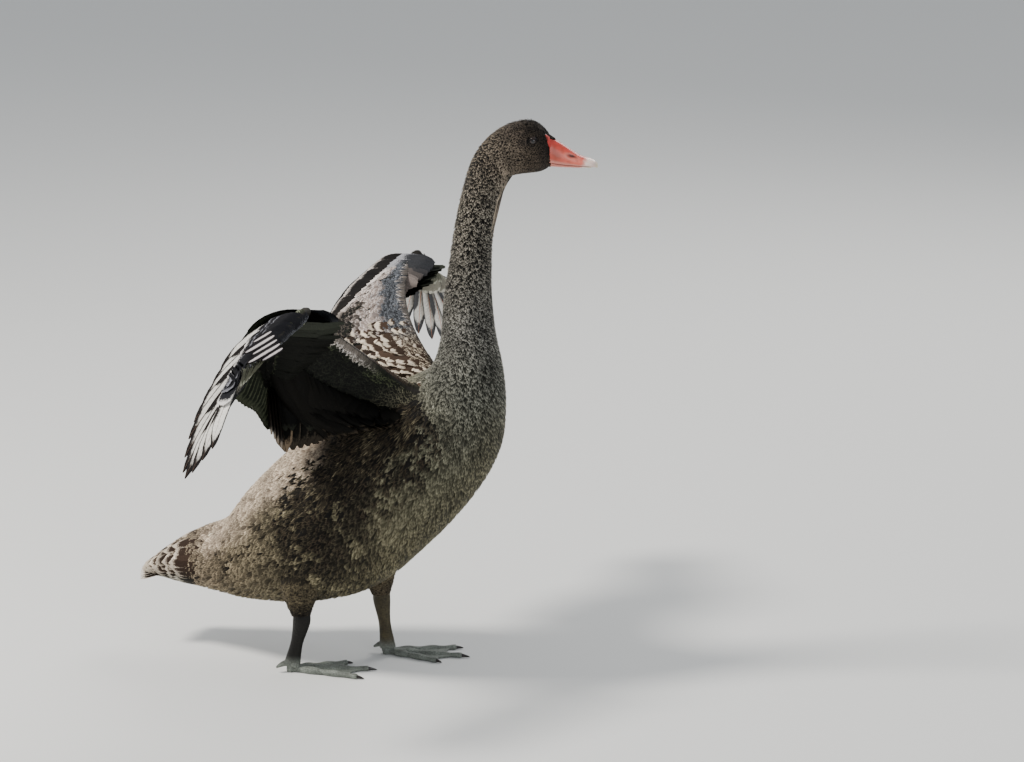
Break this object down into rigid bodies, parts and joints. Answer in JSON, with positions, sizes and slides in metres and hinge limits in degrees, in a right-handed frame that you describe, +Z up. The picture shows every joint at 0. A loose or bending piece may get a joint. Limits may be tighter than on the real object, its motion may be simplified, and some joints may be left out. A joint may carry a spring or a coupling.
{
  "type": "young black swan",
  "caption": "Young black swan, life size, standing on webbed feet with half-raised wings, upright neck and red bill, in grey-brown juvenile plumage.",
  "frame": {"origin": "on the floor, under the middle of the bird's box", "axes": "+X the way the bird faces, +Y its left side, +Z up"},
  "size_m": [0.672, 0.9048, 0.7785],
  "materials": {
    "plumage": "matt grey-brown feathers with pale fringes",
    "flight_feathers": "smooth slate, white and brown vanes",
    "bill": "satin red horn with a pale nail",
    "leg_skin": "scaly dark grey skin",
    "eye": "wet dark brown"
  },
  "bodies": {
    "root": {"tail": "flight_feathers", "torso": "plumage", "neck_lower": "plumage", "neck_middle": "plumage", "neck_upper": "plumage", "head": "plumage", "bill_upper": "bill", "bill_lower": "bill", "eye_left": "eye", "wing_left_arm": "flight_feathers", "wing_left_hand": "flight_feathers", "foot_left": "leg_skin", "tarsus_left": "leg_skin", "thigh_left": "plumage", "eye_right": "eye", "wing_right_arm": "flight_feathers", "wing_right_hand": "flight_feathers", "foot_right": "leg_skin", "tarsus_right": "leg_skin", "thigh_right": "plumage"}
  },
  "joints": []
}
